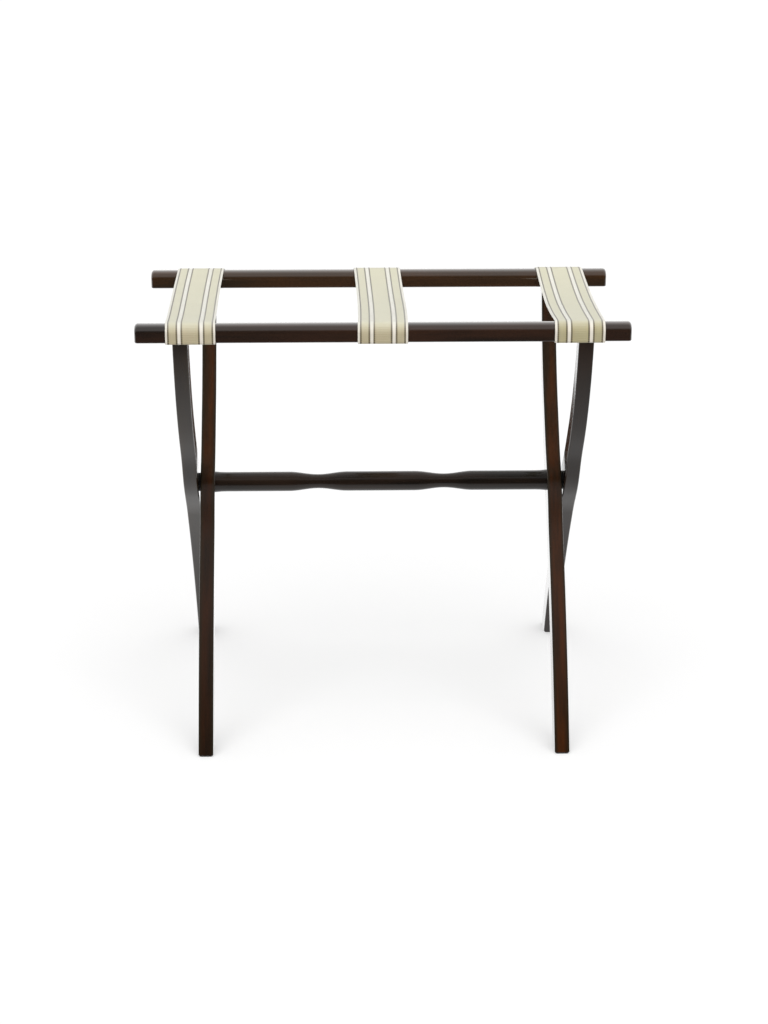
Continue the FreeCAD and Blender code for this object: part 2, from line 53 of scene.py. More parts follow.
# Webbing, in millimetres across its width
STRAP_WIDTH = 61.5
STRAP_THICKNESS = 1.5
STRAP_GAP = 0.3  # to the rail
CORD_PLACES = (10.6, 16.65, 27.1)  # dark lines, either side of the middle
CORD_HALF_WIDTH = 0.85
CORD_SPREAD = 0.25  # added where the webbing turns down over a rail, with its painted shade
CORD_SHOULDER = 0.25  # how far a raised cord reaches past its dark line
CORD_RISE = 0.22
CORD_BEAD = 2.6  # length of one twist
CORD_SLANT = 0.5  # of the twist: along the strap, for each unit across it
BEAD_MEAN = 0.68  # height of a cord's beads, as shares of its rise
BEAD_SWING = 0.32
RIB_PITCH = 2.2  # weft ribs along the strap
RIB_RISE = 0.05
WARP_PITCH = 0.62
HERRINGBONE_PITCH = 1.05
HERRINGBONE_SLANT = 1.3
HERRINGBONE_REACH = 0.95  # across the strap, between two turns of the slant
HERRINGBONE_SHIFT = 0.35
EDGE_BEAD = 1.6  # width of the rounded selvedge
EDGE_DROP = 0.55  # how far its upper face falls
EDGE_THINNING = 0.6  # how far its lower face rises
TAIL_FLATTENING = 0.75  # share of the relief that the turned-under tail lacks
TAIL_FADE_ROWS = 8
TURN_SHADE_START = 138.0  # where the painted shade of the turn over a rail starts, along the webbing from mid-span
TURN_SHADE_END = 158.0
RIGHT_SHADE_SHIFT = 4.0  # how much nearer to mid-span the right strap's painted shade starts
COLUMN_STEP = 0.75
ROW_STEP = 0.62
SHARP_ANGLE = math.radians(50)  # the webbing's cut ends and sides against its faces

# Webbing colours: the low and high points of each weave
BEIGE_LOW = (0.67, 0.635, 0.470, 1)
BEIGE_HIGH = (0.77, 0.75, 0.585, 1)
BEIGE_SLUB = (0.79, 0.77, 0.63, 1)
BLOTCH = (0.60, 0.57, 0.44, 1)
TURN_SHADE = (0.785, 0.705, 0.595, 1)  # painted shade: multiplies the beige where the webbing turns down over a rail
RIGHT_TURN_SHADE = (0.71, 0.655, 0.50, 1)  # the same painted shade, darker, on the right strap
WHITE_LOW = (0.87, 0.85, 0.75, 1)
WHITE_HIGH = (0.96, 0.94, 0.87, 1)
# Painted shade where the webbing turns down over a rail: warmer whites
SHADED_WHITE_LOW = (0.93, 0.86, 0.74, 1)
SHADED_WHITE_HIGH = (0.99, 0.93, 0.82, 1)
# Cords on the top: painted paler, a painted sheen
CORD_LOW = (0.19, 0.175, 0.14, 1)
CORD_HIGH = (0.38, 0.35, 0.30, 1)
# Cords where the webbing turns down over a rail: darker, painted shade
SHADED_CORD_LOW = (0.010, 0.008, 0.006, 1)
SHADED_CORD_HIGH = (0.43, 0.345, 0.185, 1)
SHEEN_TINT = (0.92, 0.95, 1.0, 1.0)

# The rails' section, as the straps wrap it
TOP_ROUND = 11.5
BOTTOM_ROUND = 1.6
TAIL = 17.0  # webbing turned under the rail, from its outer face
LEG_HALF_DEPTH = 12.3  # from the rail's middle out to the leg's face
NOTCH_GAP = 0.4  # webbing to the leg's top
TANGENT_ROUNDS = 6  # to find where the span leaves the rail
INNER_TURN_ROWS = 6
LOW_TURN_ROWS = 9

# Stained wood
ESPRESSO = (0.0080, 0.0062, 0.0046, 1)
CHARCOAL = (0.0170, 0.0115, 0.0085, 1)
COFFEE = (0.0150, 0.0095, 0.0065, 1)
UMBER = (0.0330, 0.0185, 0.0085, 1)
RUSSET = (0.0560, 0.0240, 0.0085, 1)
WARM_CHARCOAL = (0.0290, 0.0180, 0.0090, 1)
OLIVE_BROWN = (0.0200, 0.0138, 0.0070, 1)
DARK_BROWN = (0.0260, 0.0150, 0.0095, 1)
WARM_BROWN = (0.0400, 0.0175, 0.0095, 1)
DEEP_RED = (0.0270, 0.0120, 0.0050, 1)
RED_BROWN = (0.0800, 0.0215, 0.0045, 1)
RAIL_GLOSS = (1.45, 1.72)  # refraction of the sealed wood, and of a second coat of lacquer
LEG_GLOSS = (1.34, 1.14)
OUTER_LEFT_GLOSS = (1.45, 1.18)
STRETCHER_GLOSS = (1.42, None)
LEG_LEAN = math.radians(32.1)  # of a leg's board, and so of its grain
EDGE_STAIN_START = 0.0035  # from the middle of a leg's width to where the stain starts to darken
EDGE_STAIN_END = 0.0090
EDGE_STAIN_SHARE = 0.9
LOW_SHADE_START = 0.37  # height under which an inner leg gets darker
LOW_SHADE_FULL = 0.30
TONE_GRAIN = (0.016, 0.16)  # sizes of the wood's patterns, across and along the grain
STREAK_GRAIN = (0.0028, 0.22)
PORE_GRAIN = (0.0005, 0.014)
GLOSS_GRAIN = (0.05, 0.05)
WAVE_GRAIN = (0.03, 0.09)
COAT_ROUGHNESS = 0.08

# Light: even ambient light, one lamp, and what the floor adds so that it shows white
AMBIENT = 0.52
LAMP_STRENGTH = 1.80
LAMP_SPREAD = math.radians(75)
LAMP_TILT = math.radians(25)
FLOOR_REACH = 12.0
FLOOR_COLOUR = 0.6
FLOOR_OWN_LIGHT = 0.42

# What the lacquer reflects: the floor by its Y, and the world by how far the ray has turned, from
# the front horizon (0) over the top (0.5) to the horizon behind (1)
FLOOR_FRONT = -1.0  # dark up to here
FLOOR_UNDER = -0.2  # bright from here on
FLOOR_DARK = 0.04
FLOOR_BEHIND = 0.5  # brightest from here on
FLOOR_BEHIND_EXTRA = 0.25
CEILING_START = 0.14
CEILING_FULL = 0.29
CEILING_DARK = 0.03
CEILING_BRIGHT = 0.50
BACKDROP_START = 0.42
BACKDROP_FULL = 0.72
BACKDROP_BRIGHT = 0.75

rng = random.Random(7)


# Node helpers


def new_material(name):
    material = bpy.data.materials.new(name)
    material.use_nodes = True
    material.node_tree.nodes.clear()
    return material


class Tree:
    """Short calls for building a node tree. An input may be a value or another node's output."""

    def __init__(self, tree):
        self.tree = tree

    def node(self, kind, inputs=None, **settings):
        node = self.tree.nodes.new("ShaderNode" + kind)
        for key, value in settings.items():
            setattr(node, key, value)
        for key, value in (inputs or {}).items():
            self.put(node.inputs[key], value)
        return node

    def put(self, socket, value):
        if isinstance(value, bpy.types.NodeSocket):
            self.tree.links.new(value, socket)
        else:
            socket.default_value = value

    def math(self, operation, a, b=0.0, c=0.0):
        node = self.node("Math", operation=operation)
        for socket, value in zip(node.inputs, (a, b, c)):
            self.put(socket, value)
        return node.outputs[0]

    def between(self, value, low, high, to_low=0.0, to_high=1.0):
        node = self.node("MapRange", interpolation_type="SMOOTHSTEP")
        for socket, item in zip(node.inputs, (value, low, high, to_low, to_high)):
            self.put(socket, item)
        return node.outputs[0]

    def mix(self, share, a, b, blend="MIX"):
        node = self.node("Mix", data_type="RGBA", blend_type=blend)
        self.put(node.inputs[0], share)
        self.put(node.inputs[6], a)
        self.put(node.inputs[7], b)
        return node.outputs[2]

    def ramp(self, value, stops):
        node = self.node("ValToRGB", {"Fac": value})
        elements = node.color_ramp.elements
        while len(elements) < len(stops):
            elements.new(0.5)
        for element, (place, colour) in zip(elements, stops):
            element.position = place
            element.color = colour
        return node.outputs[0]

    def noise(self, vector, scale, detail=3.0, roughness=0.55, distortion=0.0):
        inputs = {"Vector": vector, "Scale": scale, "Detail": detail, "Roughness": roughness,
                  "Distortion": distortion}
        return self.node("TexNoise", inputs).outputs["Fac"]

    def bump(self, height, distance, strength=1.0, normal=None):
        inputs = {"Height": height, "Distance": distance, "Strength": strength}
        if normal is not None:
            inputs["Normal"] = normal
        return self.node("Bump", inputs).outputs["Normal"]

    def finish(self, inputs):
        shader = self.node("BsdfPrincipled", inputs)
        output = self.node("OutputMaterial")
        self.tree.links.new(shader.outputs[0], output.inputs[0])


# Materials


class Board:
    """How one wooden piece is finished: the way its grain runs, its two stain colours, and the
    refraction of its one or two coats. An inner leg also has the X of its middle, the colour
    towards its edges, and how much darker it is low down."""

    def __init__(self, grain, dark, warm, gloss=LEG_GLOSS,
                 middle_plane=None, rim=None, low_shade=0.0):
        self.grain = grain
        self.dark = dark
        self.warm = warm
        self.gloss = gloss
        self.middle_plane = middle_plane
        self.rim = rim
        self.low_shade = low_shade


def stained_wood(name, board):
    """Stain under gloss lacquer: slow changes of tone along the board, with streaks and pores."""
    material = new_material(name)
    t = Tree(material.node_tree)
    place = t.node("TexCoord").outputs["Object"]
    shift = tuple(rng.uniform(-1, 1) for _ in range(3))

    def stretched(across, along):
        inputs = {"Vector": place, "Location": shift, "Rotation": board.grain,
                  "Scale": (across, across, along)}
        return t.node("Mapping", inputs, vector_type="TEXTURE").outputs[0]

    tone = t.noise(stretched(*TONE_GRAIN), 1.0, 2.0, 0.45)
    streaks = t.noise(stretched(*STREAK_GRAIN), 1.0, 3.0, 0.55, 0.3)
    pores = t.noise(stretched(*PORE_GRAIN), 1.0, 2.0, 0.5)
    level = t.math("ADD", t.math("MULTIPLY", tone, 0.80), t.math("MULTIPLY", streaks, 0.20))
    middle = tuple((a + b) / 2 for a, b in zip(board.dark, board.warm))
    colour = t.ramp(level, [(0.36, board.dark), (0.50, middle), (0.64, board.warm)])
    if board.rim is not None:
        split = t.node("SeparateXYZ", {"Vector": place})
        shade = t.between(split.outputs[2], LOW_SHADE_FULL, LOW_SHADE_START, board.low_shade, 0.0)
        colour = t.mix(shade, colour, ESPRESSO)
        away = t.math("ABSOLUTE", t.math("SUBTRACT", split.outputs[0], board.middle_plane))
        edge = t.between(away, EDGE_STAIN_START, EDGE_STAIN_END, 0.0, EDGE_STAIN_SHARE)
        colour = t.mix(edge, colour, board.rim)
    pore_tone = t.between(pores, 0.34, 0.48, 0.80, 1.0)
    pore_colour = t.node("CombineColor", {i: pore_tone for i in range(3)}).outputs[0]
    colour = t.mix(1.0, colour, pore_colour, "MULTIPLY")
    gloss = t.noise(stretched(*GLOSS_GRAIN), 1.0, 2.0, 0.5)
    waves = t.noise(stretched(*WAVE_GRAIN), 1.0, 1.0, 0.4)
    normal = t.bump(pores, 0.00002, 0.5)
    normal = t.bump(waves, 0.0003, 0.2, normal)
    t.finish({
        "Base Color": colour,
        "Roughness": t.between(gloss, 0.3, 0.7, 0.10, 0.16),
        "IOR": board.gloss[0],
        "Normal": normal,
        "Coat Weight": 1.0 if board.gloss[1] else 0.0,
        "Coat Roughness": COAT_ROUGHNESS,
        "Coat IOR": board.gloss[1] or board.gloss[0],
    })
    return material


def turned_metal(name, colour, roughness):
    """Plated or turned metal with fine tool marks."""
    material = new_material(name)
    t = Tree(material.node_tree)
    place = t.node("TexCoord").outputs["Object"]
    marks = t.noise(place, 2600.0, 2.0, 0.5)
    cloud = t.noise(place, 220.0, 2.0, 0.5)
    dark = tuple(0.72 * c for c in colour[:3]) + (1,)
    t.finish({
        "Base Color": t.mix(t.between(cloud, 0.3, 0.7), dark, colour),
        "Metallic": 1.0,
        "Roughness": t.between(marks, 0.3, 0.7, roughness * 0.8, roughness * 1.3),
        "Normal": t.bump(marks, 0.00002, 0.5),
    })
    return material


def moulded_plastic(name, colour, roughness):
    material = new_material(name)
    t = Tree(material.node_tree)
    place = t.node("TexCoord").outputs["Object"]
    grain = t.noise(place, 1500.0, 2.0, 0.6)
    cloud = t.noise(place, 60.0, 2.0, 0.5)
    light = tuple(1.5 * c for c in colour[:3]) + (1,)
    t.finish({
        "Base Color": t.mix(t.between(cloud, 0.3, 0.7), colour, light),
        "Roughness": t.between(grain, 0.3, 0.7, roughness * 0.85, roughness * 1.15),
        "Normal": t.bump(grain, 0.00004, 0.6),
    })
    return material


def plain_beech(name):
    material = new_material(name)
    t = Tree(material.node_tree)
    place = t.node("TexCoord").outputs["Object"]
    grain = t.node("Mapping", {"Vector": place, "Scale": (0.0007, 0.0007, 0.012)},
                   vector_type="TEXTURE").outputs[0]
    flecks = t.noise(grain, 1.0, 3.0, 0.6)
    t.finish({
        "Base Color": t.ramp(flecks, [(0.3, (0.42, 0.27, 0.14, 1)), (0.7, (0.66, 0.49, 0.29, 1))]),
        "Roughness": t.between(flecks, 0.3, 0.7, 0.55, 0.7),
        "Normal": t.bump(flecks, 0.00005, 0.5),
    })
    return material


def webbing(name):
    """Striped webbing. The map holds millimetres: across from the middle, along from mid-span."""
    material = new_material(name)
    t = Tree(material.node_tree)
    weave = t.node("UVMap", uv_map="Weave").outputs[0]
    split = t.node("SeparateXYZ", {"Vector": weave})
    across, along = split.outputs[0], split.outputs[1]
    side = t.math("ABSOLUTE", across)

    def band(middle, half, soft=0.22):
        away = t.math("ABSOLUTE", t.math("SUBTRACT", side, middle))
        return t.between(t.math("SUBTRACT", away, half), -soft, soft, 1.0, 0.0)

    def waves(value, pitch, phase=0.0):
        turn = t.math("MULTIPLY_ADD", value, 2 * math.pi / pitch, phase)
        return t.math("MULTIPLY_ADD", t.math("COSINE", turn), 0.5, 0.5)

    # Where the webbing turns down over a rail it is painted with shade: darker, warmer beige and
    # whites, and darker, wider cords
    x = t.node("SeparateXYZ", {"Vector": t.node("TexCoord").outputs["Object"]}).outputs[0]
    # The right strap gets a darker painted shade, starting nearer mid-span
    on_right = t.between(x, 0.1, 0.2)
    reach = t.math("MULTIPLY_ADD", on_right, RIGHT_SHADE_SHIFT, t.math("ABSOLUTE", along))
    turned_shade = t.between(reach, TURN_SHADE_START, TURN_SHADE_END)
    cord_half = t.math("MULTIPLY_ADD", turned_shade, CORD_SPREAD, CORD_HALF_WIDTH)
    inner_cord, outer_cord, edge_cord = (band(p, cord_half) for p in CORD_PLACES)
    cords = t.math("MAXIMUM", inner_cord, t.math("MAXIMUM", outer_cord, edge_cord))
    pale_middle = (CORD_PLACES[0] + CORD_PLACES[1]) / 2
    pale_half = (CORD_PLACES[1] - CORD_PLACES[0]) / 2
    selvedge_middle = (CORD_PLACES[2] + STRAP_WIDTH / 2) / 2
    selvedge_half = STRAP_WIDTH / 2 - selvedge_middle + 1.0
    pale = t.math("MAXIMUM", band(pale_middle, pale_half), band(selvedge_middle, selvedge_half))

    # Beige ground: weft ribs with the warp showing as fine lines between them
    drawn_out = t.node("CombineXYZ", {0: across, 1: t.math("MULTIPLY", along, 0.25)}).outputs[0]
    wobble = t.noise(drawn_out, 0.9, 3.0)
    ribs = waves(t.math("MULTIPLY_ADD", wobble, 0.5, along), RIB_PITCH)
    fine_weft = waves(along, RIB_PITCH / 3)
    warp = waves(across, WARP_PITCH)
    ground_height = t.math("ADD", t.math("MULTIPLY", fine_weft, 0.5), t.math("MULTIPLY", warp, 0.5))
    # White bands: herringbone, its slant turning back and forth across the band
    fold = t.math("PINGPONG", t.math("ADD", side, HERRINGBONE_SHIFT), HERRINGBONE_REACH)
    slanted = t.math("ADD", along, t.math("MULTIPLY", fold, HERRINGBONE_SLANT))
    herring = waves(slanted, HERRINGBONE_PITCH)
    # Cords: two yarns twisted together
    twist = waves(t.math("ADD", along, t.math("MULTIPLY", across, CORD_SLANT)), CORD_BEAD)

    blotch = t.noise(weave, 0.045, 2.0)
    widened = t.node("CombineXYZ", {0: t.math("MULTIPLY", across, 0.12), 1: along}).outputs[0]
    slub = t.noise(widened, 1.3, 2.0)
    beige = t.mix(t.between(ribs, 0.0, 1.0), BEIGE_LOW, BEIGE_HIGH)
    beige = t.mix(t.between(slub, 0.3, 0.75, 0.0, 0.35), beige, BEIGE_SLUB)
    # Painted shade on the turned-down part: a darker tint, darker still on the right strap
    shade_tint = t.mix(on_right, TURN_SHADE, RIGHT_TURN_SHADE)
    beige = t.mix(turned_shade, beige, t.mix(1.0, beige, shade_tint, "MULTIPLY"))
    white = t.mix(herring, WHITE_LOW, WHITE_HIGH)
    white = t.mix(turned_shade, white, t.mix(herring, SHADED_WHITE_LOW, SHADED_WHITE_HIGH))
    # Cords: paler on the top as a painted sheen, darker where turned down as painted shade
    faint = t.mix(twist, CORD_LOW, CORD_HIGH)
    strong = t.mix(t.between(twist, 0.35, 0.95), SHADED_CORD_LOW, SHADED_CORD_HIGH)
    dark = t.mix(turned_shade, faint, strong)
    colour = t.mix(pale, beige, white)
    colour = t.mix(cords, colour, dark)
    colour = t.mix(t.between(blotch, 0.3, 0.7, 0.0, 0.10), colour, BLOTCH)

    height = t.math("ADD", ground_height, t.math("MULTIPLY", ribs, 0.6))
    height = t.node("Mix", {0: pale, 2: height, 3: t.math("MULTIPLY", herring, 1.3)}).outputs[0]
    height = t.node("Mix", {0: cords, 2: height, 3: t.math("MULTIPLY", twist, 2.0)}).outputs[0]
    fuzz = t.noise(weave, 6.0, 3.0, 0.6)
    normal = t.bump(height, 0.00010, 0.8)
    normal = t.bump(fuzz, 0.00008, 0.4, normal)
    t.finish({
        "Base Color": colour,
        "Roughness": t.between(height, 0.0, 1.6, 0.92, 0.78),
        "IOR": 1.45,
        "Sheen Weight": 0.35,
        "Sheen Roughness": 0.5,
        "Sheen Tint": SHEEN_TINT,
        "Normal": normal,
    })
    return material


def middle_plane(name):
    """X of the middle of a node."""
    low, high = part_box(name)
    return (low.x + high.x) / 2


def paint_nodes():
    """Puts a finish on every CAD node except the straps, which the webbing replaces."""
    along_x = (0.0, math.radians(90), 0.0)
    outer_lean = (LEG_LEAN, 0.0, 0.0)
    inner_lean = (-LEG_LEAN, 0.0, 0.0)
    boards = {
        "front_rail": Board(along_x, COFFEE, WARM_BROWN, RAIL_GLOSS),
        "rear_rail": Board(along_x, UMBER, RUSSET, RAIL_GLOSS),
        "stretcher": Board(along_x, ESPRESSO, DARK_BROWN, STRETCHER_GLOSS),
        "outer_leg_left": Board(outer_lean, CHARCOAL, WARM_CHARCOAL, OUTER_LEFT_GLOSS),
        "outer_leg_right": Board(outer_lean, CHARCOAL, DARK_BROWN),
    }
    for name, low_shade in (("inner_leg_left", 0.55), ("inner_leg_right", 0.15)):
        boards[name] = Board(inner_lean, DEEP_RED, RED_BROWN, middle_plane=middle_plane(name),
                             rim=OLIVE_BROWN, low_shade=low_shade)
    shared = {
        "dowels": plain_beech("beech_dowel"),
        "screws": turned_metal("zinc_screw", (0.62, 0.63, 0.64, 1), 0.32),
        "bolt": turned_metal("zinc_bolt", (0.56, 0.57, 0.58, 1), 0.30),
        "washer": turned_metal("zinc_washer", (0.60, 0.61, 0.62, 1), 0.36),
        "insert": turned_metal("turned_brass", (0.78, 0.58, 0.25, 1), 0.28),
        "spacer": moulded_plastic("black_nylon", (0.012, 0.011, 0.010, 1), 0.45),
        "glide": moulded_plastic("dark_glide", (0.020, 0.016, 0.013, 1), 0.5),
        "tacks": turned_metal("antiqued_tack", (0.16, 0.12, 0.08, 1), 0.42),
    }
    for name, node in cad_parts.items():
        if name in boards:
            finish = stained_wood("stained_" + name, boards[name])
        else:
            found = [key for key in shared if key in name]
            if not found:
                continue
            finish = shared[found[0]]
        node.data.materials.clear()
        node.data.materials.append(finish)


# Straps


class Strap:
    """One strap, in millimetres. drift: its middle line's X, then the line's slant, bow and double
    bend along the span. width: a share of STRAP_WIDTH. sag: depth of the span at the middle of the
    width, and what is added to it at SAG_EDGE. lean: the same pair for the depth that the rear half
    gains and the front half loses. length: a half's flat length; not used."""

    def __init__(self, name, drift, width, sag, lean, length):
        self.name = name
        self.drift = drift
        self.width = width * STRAP_WIDTH
        self.sag = sag
        self.lean = lean
        self.length = length


STRAPS = (
    Strap("left", (-237.81, -0.86, -2.56, -0.96), 0.995, (11.5, 0.8), (1.4, -0.2), 185.1),
    Strap("centre", (-1.67, -1.09, 1.95, 0.44), 1.001, (11.2, -0.8), (6.4, 2.2), 185.1),
    Strap("right", (241.63, 0.06, 3.16, 1.48), 1.007, (14.9, -2.5), (6.4, -1.1), 185.5),
)
DRIFT_SPAN = 130.0  # half the distance over which the drift was laid out
SAG_EDGE = 27.0  # distance from the middle at which sag and lean have their second term


def rail_section():
    """The rear rail's outer face, inner face, top and bottom in millimetres, from its box."""
    low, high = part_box("rear_rail")
    return {"outer": high.y / MM, "inner": low.y / MM, "top": high.z / MM, "bottom": low.z / MM}


RAIL = rail_section()


def wrap_path(across, strap, end):
    """Outer surface of a strap half, from mid-span to the tail's end. end is 1 for the rear, -1 for
    the front. Returns Y (positive towards the rail), Z and the outward normal's angle from upright,
    each rows by columns, and the row where the tail starts."""
    rise = STRAP_GAP + STRAP_THICKNESS
    radius = TOP_ROUND + rise
    corner_y = RAIL["inner"] + TOP_ROUND
    corner_z = RAIL["top"] - TOP_ROUND
    share = across / SAG_EDGE
    sag = strap.sag[0] + strap.sag[1] * share
    lean = end * (strap.lean[0] + strap.lean[1] * share)
    # The span ends where it is tangent to the turn over the rail's inner corner
    turn = np.zeros_like(across)
    for _ in range(TANGENT_ROUNDS):
        edge_y = corner_y - radius * np.sin(turn)
        turn = np.arctan((2 * sag + 2 * lean) / edge_y)
    edge_y = corner_y - radius * np.sin(turn)
    edge_z = corner_z + radius * np.cos(turn)
    rows = []

    def add(y, z, tilt):
        rows.append((y, z, tilt))

    steps = int(corner_y / ROW_STEP)
    for i in range(steps):
        t = i / steps
        bow = 1 - t * t
        y = edge_y * t
        z = edge_z - sag * bow - lean * bow * t
        slope = (2 * sag * t - lean * (1 - 3 * t * t)) / edge_y
        add(y, z, -np.arctan(slope))
    for i in range(INNER_TURN_ROWS):
        angle = -turn * (1 - i / INNER_TURN_ROWS)
        add(corner_y + radius * np.sin(angle), corner_z + radius * np.cos(angle), angle)
    flat_end = RAIL["outer"] - TOP_ROUND
    steps = int((flat_end - corner_y) / ROW_STEP)
    zero = np.zeros_like(across)
    for i in range(steps):
        add(zero + corner_y + (flat_end - corner_y) * i / steps, zero + RAIL["top"] + rise, zero)
    steps = int(radius * math.pi / 2 / ROW_STEP)
    for i in range(steps):
        angle = zero + math.pi / 2 * i / steps
        add(flat_end + radius * np.sin(angle), corner_z + radius * np.cos(angle), angle)
    low_z = RAIL["bottom"] + BOTTOM_ROUND
    low_radius = BOTTOM_ROUND + rise
    steps = int((corner_z - low_z) / ROW_STEP)
    for i in range(steps):
        z = zero + corner_z + (low_z - corner_z) * i / steps
        add(zero + RAIL["outer"] + rise, z, zero + math.pi / 2)
    tail_start = RAIL["outer"] - BOTTOM_ROUND
    for i in range(LOW_TURN_ROWS):
        angle = zero + math.pi / 2 * (1 + i / LOW_TURN_ROWS)
        add(tail_start + low_radius * np.sin(angle), low_z + low_radius * np.cos(angle), angle)
    tail_row = len(rows)
    tail_end = RAIL["outer"] - TAIL
    steps = int((tail_start - tail_end) / ROW_STEP)
    for i in range(steps + 1):
        y = tail_start + (tail_end - tail_start) * i / steps
        add(zero + y, zero + RAIL["bottom"] - rise, zero + math.pi)
    y, z, tilt = (np.array([row[k] for row in rows]) for k in range(3))
    return y, z, tilt, tail_row


def relief(across, along, tail_share):
    """Height of the weave over the webbing's plain surface, in millimetres."""
    side = np.abs(across)
    height = RIB_RISE * np.cos(2 * math.pi * along / RIB_PITCH)
    for place in CORD_PLACES:
        away = np.abs(side - place)
        swell = np.clip(1 - (away / (CORD_HALF_WIDTH + CORD_SHOULDER)) ** 2, 0, 1)
        slant = np.sign(across) * (side - place) * CORD_SLANT
        bead = BEAD_MEAN + BEAD_SWING * np.cos(2 * math.pi * (along + slant) / CORD_BEAD)
        height = height * (1 - swell) + CORD_RISE * bead * swell
    edge = np.clip((side - (STRAP_WIDTH / 2 - EDGE_BEAD)) / EDGE_BEAD, 0, 1)
    height = height * (1 - edge) - EDGE_DROP * edge ** 2
    return height * (1 - TAIL_FLATTENING * tail_share)


def strap_half(strap, end):
    """Mesh of one half: a plate on a grid, with the tail notched round the leg's top."""
    half = strap.width / 2
    columns = int(round(strap.width / COLUMN_STEP))
    across = np.linspace(-half, half, columns + 1)
    y, z, tilt, tail_row = wrap_path(across, strap, end)
    step_y = np.diff(y, axis=0, prepend=y[:1])
    step_z = np.diff(z, axis=0, prepend=z[:1])
    along = np.cumsum(np.hypot(step_y, step_z), axis=0)
    share = end * y / DRIFT_SPAN
    bow = 1 - share * share
    drift = strap.drift
    x = drift[0] + drift[1] * share + drift[2] * bow + drift[3] * share * bow + across
    rows = len(y)
    tail_share = (np.arange(rows) - tail_row + TAIL_FADE_ROWS) / TAIL_FADE_ROWS
    tail_share = np.clip(tail_share, 0, 1)[:, None]
    across_grid = np.broadcast_to(across, x.shape)
    rise = relief(across_grid, along, tail_share)
    normal_y, normal_z = np.sin(tilt), np.cos(tilt)
    present = np.ones((rows - 1, columns), bool)
    leg = leg_beside(strap, end)
    if leg is not None:
        low, high, face = leg
        left = np.abs(x[tail_row] - low).argmin()
        right = np.abs(x[tail_row] - high).argmin()
        x[tail_row:, left] = low
        x[tail_row:, right] = high
        cut_row = int(np.argmax((y[:, 0] < face) & (np.arange(rows) > tail_row)))
        present[cut_row:, left:right] = False
    top = np.stack([x, end * (y + normal_y * rise), z + normal_z * rise], axis=-1)
    edge = np.clip((np.abs(across_grid) - half + EDGE_BEAD) / EDGE_BEAD, 0, 1)
    thick = STRAP_THICKNESS - EDGE_THINNING * edge ** 2
    bottom = np.stack([x, end * (y - normal_y * thick), z - normal_z * thick], axis=-1)
    name = strap_name(strap, end)
    return plate(name, top * MM, bottom * MM, across_grid, end * along, present, end)


def strap_name(strap, end):
    return "webbing_" + strap.name + ("_rear" if end > 0 else "_front")


def leg_beside(strap, end):
    """X limits of the notch and the Y of its face, in millimetres; None for the centre strap."""
    if strap.name == "centre":
        return None
    low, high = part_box(("inner_leg_" if end > 0 else "outer_leg_") + strap.name)
    face = (RAIL["outer"] + RAIL["inner"]) / 2 + LEG_HALF_DEPTH
    return low.x / MM - NOTCH_GAP, high.x / MM + NOTCH_GAP, face


def plate(name, top, bottom, across, along, present, end):
    """Closed mesh between two grids of points, over the cells that are present."""
    rows, columns = top.shape[:2]
    index = np.arange(rows * columns).reshape(rows, columns)
    below = index + rows * columns
    faces = []
    for i in range(rows - 1):
        for j in range(columns - 1):
            if not present[i, j]:
                continue
            a, b = index[i, j], index[i, j + 1]
            c, d = index[i + 1, j + 1], index[i + 1, j]
            e, f = below[i, j], below[i, j + 1]
            g, h = below[i + 1, j + 1], below[i + 1, j]
            faces.append((a, b, c, d))
            faces.append((h, g, f, e))
            if i == 0 or not present[i - 1, j]:
                faces.append((e, f, b, a))
            if i == rows - 2 or not present[i + 1, j]:
                faces.append((d, c, g, h))
            if j == 0 or not present[i, j - 1]:
                faces.append((a, d, h, e))
            if j == columns - 2 or not present[i, j + 1]:
                faces.append((c, b, f, g))
    if end < 0:
        faces = [face[::-1] for face in faces]
    points = np.concatenate([top.reshape(-1, 3), bottom.reshape(-1, 3)])
    map_points = np.stack([across.ravel(), along.ravel()], axis=-1)
    map_points = np.concatenate([map_points, map_points])
    faces = np.array(faces)
    used, renumbered = np.unique(faces, return_inverse=True)
    faces = renumbered.reshape(faces.shape)
    mesh = bpy.data.meshes.new(name)
    mesh.from_pydata(points[used].tolist(), [], faces.tolist())
    layer = mesh.uv_layers.new(name="Weave")
    layer.data.foreach_set("uv", map_points[used][faces.ravel()].ravel())
    mesh.polygons.foreach_set("use_smooth", [True] * len(mesh.polygons))
    mesh.update()
    piece = bpy.data.objects.new(name, mesh)
    bpy.context.scene.collection.objects.link(piece)
    mesh.set_sharp_from_angle(angle=SHARP_ANGLE)
    return piece


def make_straps():
    finish = webbing("striped_webbing")
    for strap in STRAPS:
        for end, rail_body, drop_body, word in ((1, "inner_frame", "straps_rear", "rear"),
                                                (-1, "outer_frame", "straps_front", "front")):
            piece = strap_half(strap, end)
            piece.data.materials.append(finish)
            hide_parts("strap_" + strap.name + "_" + word)
            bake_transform(piece)


# Surroundings


